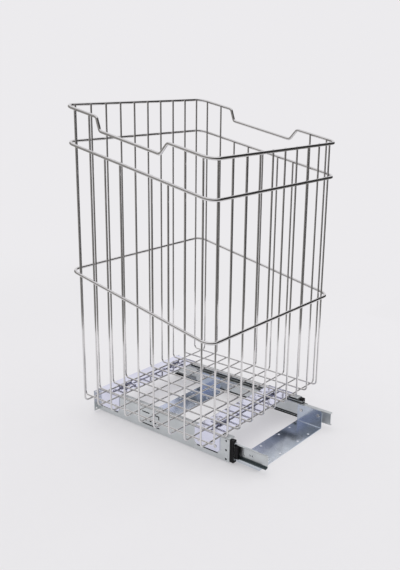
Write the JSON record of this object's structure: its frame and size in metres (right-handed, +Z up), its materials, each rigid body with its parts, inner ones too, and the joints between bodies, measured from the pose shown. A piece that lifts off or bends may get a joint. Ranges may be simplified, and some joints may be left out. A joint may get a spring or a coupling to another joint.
{
  "type": "pull-out laundry basket",
  "caption": "Wire laundry basket with a sloping rim and hand-hold dips, on a frame that pulls out of a cabinet on full-extension ball-bearing slides.",
  "frame": {"origin": "middle of the front floor bracket's screw pattern, on the cabinet floor", "axes": "+X to the right seen from in front of the cabinet, -Y the way the basket pulls out, +Z up"},
  "size_m": [0.3958, 0.426, 0.6376],
  "materials": {
    "chrome_wire": "bright chrome plating on drawn wire",
    "zinc_steel": "bright zinc plating, faintly green grey",
    "blue_zinc": "blue passivated zinc plating",
    "pale_zinc": "pale blue zinc plating, soft sheen",
    "black_plastic": "moulded black plastic, slight sheen"
  },
  "bodies": {
    "floor_frame": {"floor_bracket_front": "blue_zinc", "floor_bracket_rear": "blue_zinc", "slide_inner_member_left": "zinc_steel", "slide_inner_member_right": "zinc_steel"},
    "left_middle": {"slide_middle_member_left": "zinc_steel", "slide_end_cap_left": "black_plastic"},
    "right_middle": {"slide_middle_member_right": "zinc_steel", "slide_end_cap_right": "black_plastic"},
    "left_inner_cage": {"inner_ball_cage_left": "black_plastic"},
    "right_inner_cage": {"inner_ball_cage_right": "black_plastic"},
    "left_outer_cage": {"outer_ball_cage_left": "black_plastic"},
    "right_outer_cage": {"outer_ball_cage_right": "black_plastic"},
    "pull_out_frame": {"slide_outer_member_left": "zinc_steel", "slide_outer_member_right": "zinc_steel", "slide_buffer_left": "black_plastic", "slide_buffer_right": "black_plastic", "side_plate_left": "zinc_steel", "side_plate_right": "zinc_steel", "basket_clip_front_left": "black_plastic", "basket_clip_front_right": "black_plastic", "basket_clip_rear_left": "black_plastic", "basket_clip_rear_right": "black_plastic", "cross_strip_front": "pale_zinc", "cross_strip_rear": "pale_zinc"},
    "basket": {"top_rim": "chrome_wire", "collar_ring": "chrome_wire", "belly_ring": "chrome_wire", "front_rear_wire_1": "chrome_wire", "front_rear_wire_10": "chrome_wire", "front_rear_wire_2": "chrome_wire", "front_rear_wire_3": "chrome_wire", "front_rear_wire_4": "chrome_wire", "front_rear_wire_5": "chrome_wire", "front_rear_wire_6": "chrome_wire", "front_rear_wire_7": "chrome_wire", "front_rear_wire_8": "chrome_wire", "front_rear_wire_9": "chrome_wire", "side_wire_1": "chrome_wire", "side_wire_2": "chrome_wire", "side_wire_3": "chrome_wire", "side_wire_4": "chrome_wire", "side_wire_5": "chrome_wire", "side_wire_6": "chrome_wire", "side_wire_7": "chrome_wire", "side_wire_8": "chrome_wire", "side_wire_9": "chrome_wire"}
  },
  "joints": [
    {"name": "carriage_slide", "type": "slide", "parent": "floor_frame", "child": "pull_out_frame", "axis": [0, -1, 0], "range_m": [-0.076, 0.274]},
    {"name": "left_middle_slide", "type": "slide", "parent": "floor_frame", "child": "left_middle", "axis": [0, -1, 0], "range_m": [-0.038, 0.137]},
    {"name": "left_inner_cage_slide", "type": "slide", "parent": "floor_frame", "child": "left_inner_cage", "axis": [0, -1, 0], "range_m": [-0.019, 0.0685]},
    {"name": "left_outer_cage_slide", "type": "slide", "parent": "floor_frame", "child": "left_outer_cage", "axis": [0, -1, 0], "range_m": [-0.057, 0.2055]},
    {"name": "right_middle_slide", "type": "slide", "parent": "floor_frame", "child": "right_middle", "axis": [0, -1, 0], "range_m": [-0.038, 0.137]},
    {"name": "right_inner_cage_slide", "type": "slide", "parent": "floor_frame", "child": "right_inner_cage", "axis": [0, -1, 0], "range_m": [-0.019, 0.0685]},
    {"name": "right_outer_cage_slide", "type": "slide", "parent": "floor_frame", "child": "right_outer_cage", "axis": [0, -1, 0], "range_m": [-0.057, 0.2055]},
    {"name": "basket_lift", "type": "slide", "parent": "pull_out_frame", "child": "basket", "axis": [0, 0, 1], "range_m": [0, 0.25]}
  ],
  "couplings": [
    {"joint": "left_middle_slide", "follows": "carriage_slide", "ratio": 0.5},
    {"joint": "left_inner_cage_slide", "follows": "carriage_slide", "ratio": 0.25},
    {"joint": "left_outer_cage_slide", "follows": "carriage_slide", "ratio": 0.75},
    {"joint": "right_middle_slide", "follows": "carriage_slide", "ratio": 0.5},
    {"joint": "right_inner_cage_slide", "follows": "carriage_slide", "ratio": 0.25},
    {"joint": "right_outer_cage_slide", "follows": "carriage_slide", "ratio": 0.75}
  ]
}
